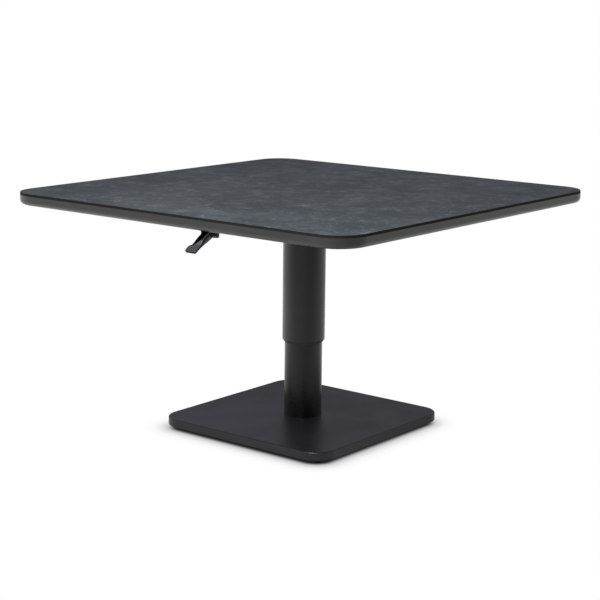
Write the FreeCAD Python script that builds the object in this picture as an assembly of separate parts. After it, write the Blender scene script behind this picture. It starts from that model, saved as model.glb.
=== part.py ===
import FreeCAD, Part
import math
import os

# Height-adjustable pedestal table, in millimetres.
# The origin lies on the floor below the middle of the column, +Z is up,
# and the release lever is on the -Y side.

# Table top: a laminate panel in an aluminium rim of C section
top_width = 1000.0
top_height = 586.0
top_corner_radius = 72.0
panel_thickness = 6.0
panel_step_back = 0.5
panel_edge_chamfer = 0.6
rim_height = 23.5
rim_width = 30.0
rim_wall = 3.0
rim_lower_radius = 12.0

# Rails of rectangular tube below the panel
rail_width = 40.0
rail_height = 20.0
rail_wall = 2.0
rail_offset = 75.5
panel_screw_diameter = 5.0
panel_screw_head_diameter = 9.0
panel_screw_head_height = 3.0
panel_screw_grip = 4.0
panel_screw_side = 12.0
rail_screw_start = 200.0
rail_screw_end_gap = 100.0
outrigger_screw_start = 180.0
outrigger_screw_end_gap = 30.0

# Mounting plate and column flange
plate_width = 220.0
plate_thickness = 8.0
plate_corner_radius = 15.0
plate_bolt_diameter = 6.0
plate_bolt_distance = 85.0
plate_bolt_grip = 6.0
flange_diameter = 170.0
flange_thickness = 6.0
flange_bolt_diameter = 8.0
flange_bolt_circle = 140.0

# Telescopic column
lower_tube_diameter = 92.0
lower_tube_wall = 2.9
upper_tube_wall = 3.0
telescope_gap = 2.95
lift_up = 85.0
lift_down = 170.0
collar_length = 31.5
collar_lip_height = 7.0
collar_lip_taper = 5.0
bush_length = 30.0
bush_lip_height = 3.0
bush_lip_width = 1.5
top_stop_gap = 4.0
bottom_stop_gap = 2.0
key_width = 8.0
key_end_gap = 3.0

# Gas spring with a hollow rod and a release pin inside the rod
cylinder_diameter = 28.0
cylinder_wall = 1.5
cylinder_cap = 8.0
cylinder_top_gap = 11.0
gland_height = 10.0
piston_height = 12.0
piston_end_gap = 2.0
rod_diameter = 10.0
rod_bore_diameter = 3.6
spring_stud_diameter = 10.0
spring_nut_height = 8.0
centring_ring_height = 12.0
centring_ring_drop = 5.0

# Release head: a bell-crank rocker that presses the release pin
head_width = 26.0
head_back = 24.0
head_front = 22.0
head_depth = 16.0
head_flange_width = 52.0
head_flange_height = 3.0
head_window_gap = 1.0
head_screw_diameter = 4.0
head_screw_length = 14.0
rocker_thickness = 7.0
rocker_side_gap = 0.5
rocker_pin_diameter = 4.0
rocker_pivot_height = 3.5
rocker_cable_arm = 10.0
rocker_nose_arm = 11.0
rocker_nose_radius = 3.0
rocker_arm_radius = 4.2
rod_top_drop = 3.5
pin_gap = 0.3
cable_stop_thickness = 10.0
cable_stop_width = 12.0

# Release lever below the front edge
lever_inset = 70.0
lever_drop = 21.0
lever_slope = 35.0
lever_travel = 15.0
lever_length = 68.7
lever_top = 9.0
lever_neck_width = 23.0
lever_paddle_width = 35.0
lever_paddle_start = 43.0
lever_shoulder_length = 8.0
lever_paddle_thickness = 3.8
lever_heel_length = 28.0
lever_corner_radius = 6.0
lever_skin = 3.0
lever_flange = 2.5
lever_boss_radius = 6.5
lever_pin_diameter = 6.0
lever_side_gap = 0.5
lever_cable_arm = 11.0
lever_arm_angle = 55.0
lever_web_width = 10.0
lever_web_radius = 3.8
bracket_wall = 3.0
bracket_front = 26.0
bracket_back = 25.0
bracket_ear_radius = 7.0
bridge_distance = 8.0
bridge_thickness = 4.0
bridge_height = 11.0
pin_head_diameter = 10.0
pin_head_length = 3.0
pin_barrel_length = 15.0
bracket_screw_diameter = 5.0
bracket_screw_head_diameter = 8.5
bracket_screw_head_height = 2.5
bracket_screw_length = 10.0
bracket_screw_spread = 11.5

# Release cable
sheath_diameter = 5.0
wire_diameter = 1.5
wire_gap = 0.3
nipple_diameter = 4.0
nipple_length = 7.0
adjuster_diameter = 8.0
adjuster_start = 6.0
adjuster_length = 12.0
adjuster_seat = 6.0
adjuster_nut_width = 11.0
adjuster_nut_height = 4.0
clip_band = 1.4
clip_width = 5.0
clip_tab = 13.0
clip_distance = 69.0
clip_screw_diameter = 4.0

# Base
base_width = 500.0
base_height = 19.5
base_corner_radius = 54.0
base_edge_radius = 3.5
base_wall = 3.0
base_floor_gap = 10.5
ballast_recess = 1.0
ballast_thickness = 9.0
ballast_edge_gap = 3.0
foot_plate_diameter = 180.0
column_bolt_diameter = 8.0
column_bolt_circle = 130.0
bolt_head_width_ratio = 1.6
bolt_head_height_ratio = 0.6
foot_inset = 33.0
foot_diameter = 16.0
foot_stud_diameter = 8.0
foot_stud_top_gap = 3.0
foot_neck_diameter = 6.0
foot_neck_length = 3.0
insert_diameter = 18.0

# Clearances
running_gap = 0.05
seat_gap = 0.1
hole_gap = 0.3

# Heights that follow from the sizes above
panel_bottom = top_height - panel_thickness
rim_bottom = panel_bottom - rim_height
rail_bottom = panel_bottom - rail_height
plate_bottom = rail_bottom - plate_thickness
flange_bottom = plate_bottom - flange_thickness
cover_bottom = base_floor_gap
cover_top = cover_bottom + base_height
cover_inside_top = cover_top - base_wall
ballast_bottom = cover_bottom + ballast_recess
ballast_top = ballast_bottom + ballast_thickness
lower_tube_top = flange_bottom - lift_down - bottom_stop_gap - bush_lip_height
upper_tube_bottom = lower_tube_top - bush_length - lift_up - top_stop_gap - collar_length
head_bottom = rail_bottom - head_depth
cylinder_top = head_bottom - lift_down - cylinder_top_gap
gland_bottom = cylinder_top - gland_height
piston_top = gland_bottom - lift_up - piston_end_gap
rod_top = rail_bottom - rod_top_drop

# Radii that follow from the sizes above
lower_tube_radius = lower_tube_diameter / 2
lower_bore_radius = lower_tube_radius - lower_tube_wall
upper_bore_radius = lower_tube_radius + telescope_gap
upper_tube_radius = upper_bore_radius + upper_tube_wall
cylinder_radius = cylinder_diameter / 2
cylinder_bore_radius = cylinder_radius - cylinder_wall
rod_radius = rod_diameter / 2
rod_bore_radius = rod_bore_diameter / 2
sheath_radius = sheath_diameter / 2
wire_radius = wire_diameter / 2
wire_bore_radius = wire_radius + wire_gap
nipple_radius = nipple_diameter / 2
adjuster_radius = adjuster_diameter / 2

# The rocker turns as far as the cable pulls it, and both arms swing evenly about their middle pose
cable_travel = lever_cable_arm * math.radians(lever_travel)
rocker_travel = math.degrees(cable_travel / rocker_cable_arm)
rocker_lean = rocker_travel / 2

rocker_pivot_y = rocker_nose_arm
rocker_pivot_z = rail_bottom + rocker_pivot_height
rocker_wire_y = rocker_pivot_y + rocker_cable_arm * math.sin(math.radians(rocker_lean))
rocker_wire_z = rocker_pivot_z + rocker_cable_arm * math.cos(math.radians(rocker_lean))
nose_center_z = rocker_pivot_z
pin_top = nose_center_z - rocker_nose_radius - pin_gap

lever_pivot_y = lever_inset - top_width / 2
lever_pivot_z = rail_bottom - lever_drop
cable_slope = 90.0 - lever_arm_angle
lever_arm_rest = lever_arm_angle - lever_travel / 2
lever_wire_y = lever_pivot_y + lever_cable_arm * math.cos(math.radians(lever_arm_rest))
lever_wire_z = lever_pivot_z - lever_cable_arm * math.sin(math.radians(lever_arm_rest))
ear_gap = lever_neck_width + 2 * lever_side_gap
clip_level = rail_bottom - clip_band - seat_gap - sheath_radius

rail_reach = top_width / 2 - rim_width
foot_place = base_width / 2 - foot_inset


def vec(x, y, z):
    return FreeCAD.Vector(x, y, z)


def block(x0, x1, y0, y1, z0, z1):
    return Part.makeBox(x1 - x0, y1 - y0, z1 - z0, vec(x0, y0, z0))


def rod_z(radius, z0, z1, x=0.0, y=0.0):
    return Part.makeCylinder(radius, z1 - z0, vec(x, y, z0))


def rod_x(radius, x0, x1, y=0.0, z=0.0):
    return Part.makeCylinder(radius, x1 - x0, vec(x0, y, z), vec(1, 0, 0))


def rod_y(radius, y0, y1, x=0.0, z=0.0):
    return Part.makeCylinder(radius, y1 - y0, vec(x, y0, z), vec(0, 1, 0))


def ring_z(outer, inner, z0, z1, x=0.0, y=0.0):
    return rod_z(outer, z0, z1, x, y).cut(rod_z(inner, z0, z1, x, y))


def hexagon_reach(width):
    return width / math.sqrt(3)


def hexagon_z(width, z0, z1, x=0.0, y=0.0):
    reach = hexagon_reach(width)
    corners = [vec(x + reach * math.cos(math.radians(a)), y + reach * math.sin(math.radians(a)), z0)
               for a in range(0, 361, 60)]
    return Part.Face(Part.makePolygon(corners)).extrude(vec(0, 0, z1 - z0))


def rounded_square(width, radius, z0, z1):
    half = width / 2
    body = block(-half, half, -half, half, z0, z1)
    upright = [e for e in body.Edges if abs(e.Vertexes[0].Z - e.Vertexes[1].Z) > (z1 - z0) / 2]
    return body.makeFillet(radius, upright)


def edges_at_height(shape, z):
    level = [e for e in shape.Edges if e.BoundBox.ZLength < 0.001]
    return [e for e in level if abs(e.BoundBox.ZMin - z) < 0.001]


def side_plate(points, x0, x1):
    corners = [vec(x0, y, z) for y, z in points]
    return Part.Face(Part.makePolygon(corners + corners[:1])).extrude(vec(x1 - x0, 0, 0))


def turned(shape, angle, y, z):
    shape.rotate(vec(0, 0, 0), vec(1, 0, 0), angle)
    shape.translate(vec(0, y, z))
    return shape


def bolt(diameter, shank_bottom, shank_top, x, y):
    head_height = diameter * bolt_head_height_ratio
    head = hexagon_z(diameter * bolt_head_width_ratio, shank_bottom - head_height, shank_bottom, x, y)
    return head.fuse(rod_z(diameter / 2, shank_bottom, shank_top, x, y))


def screw(diameter, head_diameter, head_height, seat, top, x, y):
    head = rod_z(head_diameter / 2, seat - head_height, seat, x, y)
    return head.fuse(rod_z(diameter / 2, seat, top, x, y))


def circle_places(circle_diameter, count=4, start=45.0):
    places = []
    for step in range(count):
        angle = math.radians(start + step * 360.0 / count)
        places.append((circle_diameter / 2 * math.cos(angle), circle_diameter / 2 * math.sin(angle)))
    return places


def corner_places(distance_x, distance_y):
    return [(sx * distance_x, sy * distance_y) for sx in (-1, 1) for sy in (-1, 1)]


def rail_screw_places():
    side = rail_offset + panel_screw_side
    distances = (rail_screw_start, rail_reach - rail_screw_end_gap)
    return [(sx * side, sy * d) for sx in (-1, 1) for sy in (-1, 1) for d in distances]


def outrigger_screw_places():
    last = rail_reach - outrigger_screw_end_gap
    distances = (outrigger_screw_start, (outrigger_screw_start + last) / 2, last)
    return [(sx * d, 0.0) for sx in (-1, 1) for d in distances]


# Top


def top_panel():
    width = top_width - 2 * panel_step_back
    radius = top_corner_radius - panel_step_back
    body = rounded_square(width, radius, panel_bottom, top_height)
    body = body.makeChamfer(panel_edge_chamfer, edges_at_height(body, top_height))
    screw_top = panel_bottom + panel_screw_grip
    for x, y in rail_screw_places() + outrigger_screw_places():
        body = body.cut(rod_z(panel_screw_diameter / 2 + running_gap, panel_bottom, screw_top, x, y))
    return body


def rim_frame():
    body = rounded_square(top_width, top_corner_radius, rim_bottom, panel_bottom)
    body = body.makeFillet(rim_lower_radius, edges_at_height(body, rim_bottom))
    opening = rounded_square(2 * rail_reach, top_corner_radius - rim_width, rim_bottom, panel_bottom)
    channel = rounded_square(top_width - 2 * rim_wall, top_corner_radius - rim_wall,
                             rim_bottom + rim_wall, panel_bottom - rim_wall)
    lower_edges = edges_at_height(channel, rim_bottom + rim_wall)
    channel = channel.makeFillet(rim_lower_radius - rim_wall, lower_edges)
    return body.cut(opening).cut(channel)


def rail(side):
    half = rail_width / 2
    x = side * rail_offset
    body = block(x - half, x + half, -rail_reach, rail_reach, rail_bottom, panel_bottom)
    body = body.cut(block(x - half + rail_wall, x + half - rail_wall, -rail_reach, rail_reach,
                          rail_bottom + rail_wall, panel_bottom - rail_wall))
    wall_top = rail_bottom + rail_wall
    for sx, sy in rail_screw_places():
        body = body.cut(rod_z(panel_screw_diameter / 2 + hole_gap, rail_bottom, panel_bottom, sx, sy))
    for bx, by in corner_places(rail_offset, plate_bolt_distance):
        body = body.cut(rod_z(plate_bolt_diameter / 2 + running_gap, rail_bottom, wall_top, bx, by))
    for bx, by in bracket_screw_places():
        body = body.cut(rod_z(bracket_screw_diameter / 2 + running_gap, rail_bottom, wall_top, bx, by))
    clip_x, clip_y = clip_screw_place()
    return body.cut(rod_z(clip_screw_diameter / 2 + running_gap, rail_bottom, wall_top, clip_x, clip_y))


def outrigger(side):
    half = rail_width / 2
    inner = rail_offset + rail_width / 2
    x0, x1 = sorted((side * inner, side * rail_reach))
    body = block(x0, x1, -half, half, rail_bottom, panel_bottom)
    body = body.cut(block(x0, x1, -half + rail_wall, half - rail_wall,
                          rail_bottom + rail_wall, panel_bottom - rail_wall))
    for sx, sy in outrigger_screw_places():
        body = body.cut(rod_z(panel_screw_diameter / 2 + hole_gap, rail_bottom, panel_bottom, sx, sy))
    return body


def panel_screws():
    return Part.makeCompound([
        screw(panel_screw_diameter, panel_screw_head_diameter, panel_screw_head_height,
              rail_bottom, panel_bottom + panel_screw_grip, x, y)
        for x, y in rail_screw_places() + outrigger_screw_places()])


def mounting_plate():
    body = rounded_square(plate_width, plate_corner_radius, plate_bottom, rail_bottom)
    side = head_width / 2 + head_window_gap
    body = body.cut(block(-side, side, -head_back - head_window_gap, head_front + head_window_gap,
                          plate_bottom, rail_bottom))
    for x, y in circle_places(flange_bolt_circle):
        body = body.cut(rod_z(flange_bolt_diameter / 2 + running_gap, plate_bottom, rail_bottom, x, y))
    for x, y in corner_places(rail_offset, plate_bolt_distance):
        body = body.cut(rod_z(plate_bolt_diameter / 2 + hole_gap, plate_bottom, rail_bottom, x, y))
    for x, y in head_screw_places():
        body = body.cut(rod_z(head_screw_diameter / 2 + running_gap, plate_bottom, rail_bottom, x, y))
    return body


def plate_bolts():
    return Part.makeCompound([bolt(plate_bolt_diameter, plate_bottom, rail_bottom + plate_bolt_grip, x, y)
                              for x, y in corner_places(rail_offset, plate_bolt_distance)])


def column_flange():
    body = ring_z(flange_diameter / 2, upper_bore_radius, flange_bottom, plate_bottom)
    for x, y in circle_places(flange_bolt_circle):
        body = body.cut(rod_z(flange_bolt_diameter / 2 + hole_gap, flange_bottom, plate_bottom, x, y))
    return body


def flange_bolts():
    return Part.makeCompound([bolt(flange_bolt_diameter, flange_bottom, rail_bottom, x, y)
                              for x, y in circle_places(flange_bolt_circle)])


# Column


def upper_tube():
    return ring_z(upper_tube_radius, upper_bore_radius, upper_tube_bottom, flange_bottom)


def guide_collar():
    lip_bottom = upper_tube_bottom - collar_lip_height
    lip_radius = upper_tube_radius - collar_lip_taper
    lip = Part.makeCone(lip_radius, upper_tube_radius, collar_lip_height, vec(0, 0, lip_bottom))
    sleeve = rod_z(upper_bore_radius - running_gap, upper_tube_bottom, upper_tube_bottom + collar_length)
    bore = rod_z(lower_tube_radius + running_gap, lip_bottom, upper_tube_bottom + collar_length)
    return lip.fuse(sleeve).cut(bore).removeSplitter()


def guide_key():
    outer = upper_bore_radius - running_gap
    inner = lower_tube_radius + hole_gap
    low = upper_tube_bottom + collar_length + key_end_gap
    high = flange_bottom - key_end_gap
    bar = block(-upper_tube_radius, 0.0, -key_width / 2, key_width / 2, low, high)
    return bar.common(ring_z(outer, inner, low, high))


def lower_tube():
    return ring_z(lower_tube_radius, lower_bore_radius, cover_inside_top, lower_tube_top)


def guide_bush():
    outer = upper_bore_radius - running_gap
    low = lower_tube_top - bush_length
    sleeve = ring_z(outer, lower_tube_radius + running_gap, low, lower_tube_top)
    lip = ring_z(outer, lower_bore_radius - bush_lip_width, lower_tube_top, lower_tube_top + bush_lip_height)
    slot_side = key_width / 2 + seat_gap
    slot_depth = lower_tube_radius + running_gap
    slot = block(-upper_tube_radius, -slot_depth, -slot_side, slot_side,
                 low, lower_tube_top + bush_lip_height)
    return sleeve.fuse(lip).cut(slot).removeSplitter()


# Gas spring


def spring_cylinder():
    body = rod_z(cylinder_radius, cover_inside_top, cylinder_top)
    body = body.cut(rod_z(cylinder_bore_radius, cover_inside_top + cylinder_cap, cylinder_top))
    stud_bottom = ballast_top - spring_nut_height
    return body.fuse(rod_z(spring_stud_diameter / 2, stud_bottom, cover_inside_top))


def spring_nut():
    width = spring_stud_diameter * bolt_head_width_ratio
    bottom = ballast_top - spring_nut_height
    body = hexagon_z(width, bottom, ballast_top)
    return body.cut(rod_z(spring_stud_diameter / 2 + running_gap, bottom, ballast_top))


def spring_gland():
    return ring_z(cylinder_bore_radius - running_gap, rod_radius + running_gap, gland_bottom, cylinder_top)


def centring_ring():
    top = cylinder_top - centring_ring_drop
    return ring_z(lower_bore_radius - running_gap, cylinder_radius + running_gap,
                  top - centring_ring_height, top)


def piston():
    return rod_z(cylinder_bore_radius - running_gap, piston_top - piston_height, piston_top)


def piston_rod():
    return ring_z(rod_radius, rod_bore_radius, piston_top, rod_top)


def release_pin():
    return rod_z(rod_bore_radius - running_gap, piston_top + cable_travel * 2, pin_top)


# Release head


def head_screw_places():
    side = (head_flange_width + head_width) / 4
    return corner_places(side, head_front - head_screw_diameter * 2)


def release_head():
    half = head_width / 2
    flange_half = head_flange_width / 2
    flange_top = rail_bottom + head_flange_height
    cheek_top = rocker_pivot_z + rocker_arm_radius
    cheek_outer = half - head_flange_height
    body = block(-half, half, -head_back, head_front, head_bottom, rail_bottom)
    body = body.fuse(block(-flange_half, flange_half, -head_back, head_front, rail_bottom, flange_top))
    body = body.fuse(block(-cheek_outer, cheek_outer, rocker_pivot_y - rocker_arm_radius * 2,
                           rocker_pivot_y + rocker_arm_radius * 2, flange_top, cheek_top))
    stop_half = cable_stop_width / 2
    stop_back = cable_stop_thickness - head_back
    stop_top = rocker_wire_z + rocker_arm_radius
    body = body.fuse(block(-stop_half, stop_half, -head_back, stop_back, flange_top, stop_top))
    slot_half = rocker_thickness / 2 + rocker_side_gap
    body = body.cut(block(-slot_half, slot_half, stop_back, head_front, rod_top, cheek_top))
    body = body.cut(rod_z(rod_radius + running_gap, head_bottom, rod_top))
    pin_hole_radius = rocker_pin_diameter / 2 + running_gap
    body = body.cut(rod_x(pin_hole_radius, -half, half, rocker_pivot_y, rocker_pivot_z))
    seat_end = adjuster_seat - head_back
    body = body.cut(rod_y(sheath_radius + running_gap, -head_back, seat_end, 0.0, rocker_wire_z))
    body = body.cut(rod_y(wire_bore_radius, seat_end, stop_back, 0.0, rocker_wire_z))
    for x, y in head_screw_places():
        body = body.cut(rod_z(head_screw_diameter / 2 + hole_gap, rail_bottom, flange_top, x, y))
    return body.removeSplitter()


def head_screws():
    head_height = head_screw_diameter * bolt_head_height_ratio
    seat = rail_bottom + head_flange_height
    screws = []
    for x, y in head_screw_places():
        shank = rod_z(head_screw_diameter / 2, seat + head_height - head_screw_length, seat, x, y)
        head = rod_z(head_screw_diameter * bolt_head_width_ratio / 2, seat, seat + head_height, x, y)
        screws.append(shank.fuse(head))
    return Part.makeCompound(screws)


def rocker_pin():
    half = head_width / 2 - head_flange_height
    return rod_x(rocker_pin_diameter / 2, -half, half, rocker_pivot_y, rocker_pivot_z)


def release_rocker():
    half = rocker_thickness / 2
    hub = rod_x(rocker_arm_radius, -half, half)
    arm_bar = block(-half, half, -rocker_arm_radius / 2, rocker_arm_radius / 2, 0.0, rocker_cable_arm)
    arm_end = rod_x(rocker_arm_radius, -half, half, 0.0, rocker_cable_arm)
    arm = turned(arm_bar.fuse(arm_end), -rocker_lean, 0.0, 0.0)
    nose_bar = block(-half, half, -rocker_nose_arm, 0.0, -rocker_nose_radius / 2, rocker_nose_radius / 2)
    nose = rod_x(rocker_nose_radius, -half, half, -rocker_nose_arm, 0.0)
    body = hub.fuse(arm).fuse(nose_bar).fuse(nose)
    wire_y = rocker_wire_y - rocker_pivot_y
    wire_z = rocker_wire_z - rocker_pivot_z
    body = body.cut(rod_x(rocker_pin_diameter / 2 + running_gap, -half, half))
    pocket_radius = nipple_radius + wire_gap
    body = body.cut(rod_x(pocket_radius, -half, half, wire_y, wire_z))
    body = body.cut(block(-wire_bore_radius, wire_bore_radius, -rocker_nose_arm, wire_y,
                          wire_z - pocket_radius, wire_z + pocket_radius))
    return turned(body, 0.0, rocker_pivot_y, rocker_pivot_z).removeSplitter()


# Lever


def lever_outline():
    neck = lever_neck_width / 2
    paddle = lever_paddle_width / 2
    root = lever_boss_radius
    shoulder = lever_paddle_start + lever_shoulder_length
    side = [(neck, root), (neck, -lever_paddle_start), (paddle, -shoulder), (paddle, -lever_length)]
    other = [(-x, y) for x, y in reversed(side)]
    corners = [vec(x, y, -lever_length) for x, y in side + other]
    body = Part.Face(Part.makePolygon(corners + corners[:1])).extrude(vec(0, 0, 2 * lever_length))
    upright = [e for e in body.Edges if e.BoundBox.ZLength > lever_length]
    rounded = [e for e in upright if e.BoundBox.YMax < -lever_paddle_start + 0.001]
    return body.makeFillet(lever_corner_radius, rounded)


def release_lever():
    paddle_bottom = lever_top - lever_paddle_thickness
    half = lever_neck_width / 2
    profile = [(-lever_length, lever_top),
               (-lever_length, paddle_bottom),
               (-lever_paddle_start, paddle_bottom),
               (-lever_heel_length, 0.0),
               (0.0, -lever_boss_radius),
               (lever_boss_radius, 0.0),
               (0.0, lever_top)]
    body = side_plate(profile, -lever_paddle_width, lever_paddle_width).common(lever_outline())
    channel_end = -lever_boss_radius - lever_flange
    body = body.cut(block(-half + lever_flange, half - lever_flange, -lever_paddle_start, channel_end,
                          -lever_length, lever_top - lever_skin))
    body = body.fuse(rod_x(lever_boss_radius, -half, half))
    web_half = lever_web_width / 2
    anchor_angle = -lever_arm_rest - lever_slope
    web = block(-web_half, web_half, 0.0, lever_cable_arm, -lever_web_radius, lever_web_radius)
    web = web.fuse(rod_x(lever_web_radius, -web_half, web_half, lever_cable_arm, 0.0))
    body = body.fuse(turned(web, anchor_angle, 0.0, 0.0))
    body = body.cut(rod_x(lever_pin_diameter / 2 + running_gap, -half, half))
    body = turned(body, lever_slope, lever_pivot_y, lever_pivot_z)
    pocket_radius = nipple_radius + wire_gap
    pocket = rod_x(pocket_radius, -web_half, web_half)
    slot = block(-wire_bore_radius, wire_bore_radius, 0.0, lever_cable_arm, -pocket_radius, pocket_radius)
    pocket = turned(pocket.fuse(slot), cable_slope, lever_wire_y, lever_wire_z)
    body = body.cut(pocket).removeSplitter()
    body.translate(vec(rail_offset, 0, 0))
    return body


def bracket_screw_places():
    front = lever_pivot_y - bracket_front + bracket_screw_head_diameter
    back = lever_pivot_y + bracket_back - bracket_screw_head_diameter
    return [(rail_offset + side * bracket_screw_spread, y) for side in (-1, 1) for y in (front, back)]


def lever_bracket():
    half = rail_width / 2
    plate_low = rail_bottom - bracket_wall
    inner = ear_gap / 2
    outer = inner + bracket_wall
    radius = bracket_ear_radius
    plate = block(-half, half, lever_pivot_y - bracket_front, lever_pivot_y + bracket_back,
                  plate_low, rail_bottom)
    bridge_y = bridge_distance * math.cos(math.radians(cable_slope))
    bridge_z = bridge_distance * math.sin(math.radians(cable_slope))
    anchor_y = lever_wire_y + bridge_y
    anchor_z = lever_wire_z + bridge_z
    ear_profile = [(lever_pivot_y - radius, lever_pivot_z),
                   (lever_pivot_y - radius - bracket_wall, plate_low),
                   (lever_pivot_y + radius, plate_low),
                   (anchor_y + bridge_height / 2, anchor_z + bridge_thickness),
                   (anchor_y + bridge_thickness, anchor_z - bridge_height / 2),
                   (anchor_y - bridge_thickness, anchor_z - bridge_height / 2),
                   (lever_pivot_y, lever_pivot_z - radius)]
    body = plate
    for x0 in (-outer, inner):
        ear = side_plate(ear_profile, x0, x0 + bracket_wall)
        body = body.fuse(ear.fuse(rod_x(radius, x0, x0 + bracket_wall, lever_pivot_y, lever_pivot_z)))
    bridge = block(-inner, inner, -bridge_thickness / 2, bridge_thickness / 2,
                   -bridge_height / 2, bridge_height / 2)
    bridge = bridge.cut(rod_y(adjuster_radius + running_gap, -bridge_thickness, bridge_thickness))
    body = body.fuse(turned(bridge, cable_slope, anchor_y, anchor_z))
    pin_hole = rod_x(lever_pin_diameter / 2 + running_gap, -outer, outer, lever_pivot_y, lever_pivot_z)
    body = body.cut(pin_hole)
    body.translate(vec(rail_offset, 0, 0))
    for x, y in bracket_screw_places():
        body = body.cut(rod_z(bracket_screw_diameter / 2 + hole_gap, plate_low, rail_bottom, x, y))
    return body.removeSplitter()


def bracket_screws():
    seat = rail_bottom - bracket_wall
    return Part.makeCompound([
        screw(bracket_screw_diameter, bracket_screw_head_diameter, bracket_screw_head_height,
              seat, seat + bracket_screw_length, x, y)
        for x, y in bracket_screw_places()])


def lever_pin():
    outer = ear_gap / 2 + bracket_wall
    pin = rod_x(lever_pin_diameter / 2, -outer, outer)
    head = rod_x(pin_head_diameter / 2, -outer - pin_head_length, -outer)
    barrel = rod_x(pin_head_diameter / 2, outer, outer + pin_barrel_length)
    end = [e for e in barrel.Edges if e.BoundBox.XMin > outer + pin_barrel_length - 0.001]
    barrel = barrel.makeFillet(pin_head_diameter / 8, end)
    body = pin.fuse(head).fuse(barrel)
    body.translate(vec(rail_offset, lever_pivot_y, lever_pivot_z))
    return body


# Cable


def cable_adjuster():
    end = adjuster_start + adjuster_length
    body = rod_y(adjuster_radius, adjuster_start, end)
    body = body.cut(rod_y(wire_bore_radius, adjuster_start, end))
    body = body.cut(rod_y(sheath_radius + running_gap, end - adjuster_seat, end))
    body = turned(body, cable_slope, lever_wire_y, lever_wire_z)
    body.translate(vec(rail_offset, 0, 0))
    return body


def adjuster_nut():
    start = bridge_distance + bridge_thickness / 2
    body = hexagon_z(adjuster_nut_width, 0.0, adjuster_nut_height)
    body = body.cut(rod_z(adjuster_radius + running_gap, 0.0, adjuster_nut_height))
    body.rotate(vec(0, 0, 0), vec(1, 0, 0), -90)
    body.translate(vec(0, start, 0))
    body = turned(body, cable_slope, lever_wire_y, lever_wire_z)
    body.translate(vec(rail_offset, 0, 0))
    return body


def sheath_points():
    slope = math.radians(cable_slope)
    seat = adjuster_start + adjuster_length - adjuster_seat
    start = vec(rail_offset, lever_wire_y + seat * math.cos(slope), lever_wire_z + seat * math.sin(slope))
    bend_y = start.y + (clip_level - start.z) / math.tan(slope)
    return [
        start,
        vec(rail_offset, bend_y, clip_level),
        vec(rail_offset, bend_y + 62.0, clip_level),
        vec(rail_offset - 16.0, bend_y + 122.0, clip_level),
        vec(34.0, -215.0, clip_level + 1.0),
        vec(14.0, -168.0, rocker_wire_z - 9.5),
        vec(3.0, -118.0, rocker_wire_z - 2.0),
        vec(0.0, -68.0, rocker_wire_z),
        vec(0.0, adjuster_seat - head_back, rocker_wire_z),
    ]


def smooth_path(points):
    edges = []
    start = points[0]
    for before, corner, after in zip(points, points[1:], points[2:]):
        back = (before - corner).normalize()
        ahead = (after - corner).normalize()
        half_turn = (math.pi - back.getAngle(ahead)) / 2
        shorter = min((before - corner).Length, (after - corner).Length)
        reach = 0.45 * shorter
        radius = reach / math.tan(half_turn)
        print("sheath bend radius", round(radius, 1))
        first = corner + back * reach
        last = corner + ahead * reach
        middle_line = (back + ahead).normalize()
        center = corner + middle_line * (radius / math.cos(half_turn))
        middle = center - middle_line * radius
        edges.append(Part.LineSegment(start, first).toShape())
        edges.append(Part.Arc(first, middle, last).toShape())
        start = last
    edges.append(Part.LineSegment(start, points[-1]).toShape())
    return Part.Wire(edges)


def cable_sheath():
    points = sheath_points()
    path = smooth_path(points)
    along = points[1] - points[0]
    outer = Part.Wire(Part.makeCircle(sheath_radius, points[0], along))
    inner = Part.Wire(Part.makeCircle(wire_bore_radius, points[0], along))
    body = path.makePipeShell([outer], True, True).cut(path.makePipeShell([inner], True, True))
    section = math.pi * (sheath_radius ** 2 - wire_bore_radius ** 2)
    print("sheath length", round(path.Length, 1), "volume over section times length",
          round(body.Volume / (section * path.Length), 4))
    return body


def clip_screw_place():
    return (rail_offset - clip_tab + clip_screw_diameter, lever_pivot_y + clip_distance)


def cable_clip():
    outer = sheath_radius + seat_gap / 2 + clip_band
    x = rail_offset
    screw_x, y = clip_screw_place()
    low = y - clip_width / 2
    high = y + clip_width / 2
    body = rod_y(outer, low, high, x, clip_level)
    body = body.fuse(block(x - clip_tab, x, low, high, rail_bottom - clip_band, rail_bottom))
    body = body.cut(rod_y(sheath_radius + seat_gap / 2, low, high, x, clip_level))
    return body.cut(rod_z(clip_screw_diameter / 2 + running_gap,
                          rail_bottom - clip_band, rail_bottom, screw_x, y))


def cable_clip_screw():
    x, y = clip_screw_place()
    seat = rail_bottom - clip_band
    return screw(clip_screw_diameter, clip_screw_diameter * bolt_head_width_ratio, clip_screw_diameter / 2,
                 seat, seat + clip_screw_diameter * 2, x, y)


def inner_wire_lever_end():
    half = nipple_length / 2
    reach = adjuster_start + adjuster_length + wire_diameter
    body = rod_x(nipple_radius, -half, half).fuse(rod_y(wire_radius, 0.0, reach))
    body = turned(body, cable_slope, lever_wire_y, lever_wire_z)
    body.translate(vec(rail_offset, 0, 0))
    return body


def inner_wire_head_end():
    half = rocker_thickness / 2
    body = rod_x(nipple_radius, -half, half, rocker_wire_y, rocker_wire_z)
    return body.fuse(rod_y(wire_radius, -head_back - wire_diameter, rocker_wire_y, 0.0, rocker_wire_z))


# Base


def base_cover():
    body = rounded_square(base_width, base_corner_radius, cover_bottom, cover_top)
    body = body.makeFillet(base_edge_radius, edges_at_height(body, cover_top))
    inside_radius = base_corner_radius - base_wall
    hollow = rounded_square(base_width - 2 * base_wall, inside_radius, cover_bottom, cover_inside_top)
    return body.cut(hollow).cut(rod_z(lower_tube_radius + hole_gap, cover_inside_top, cover_top))


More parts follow.
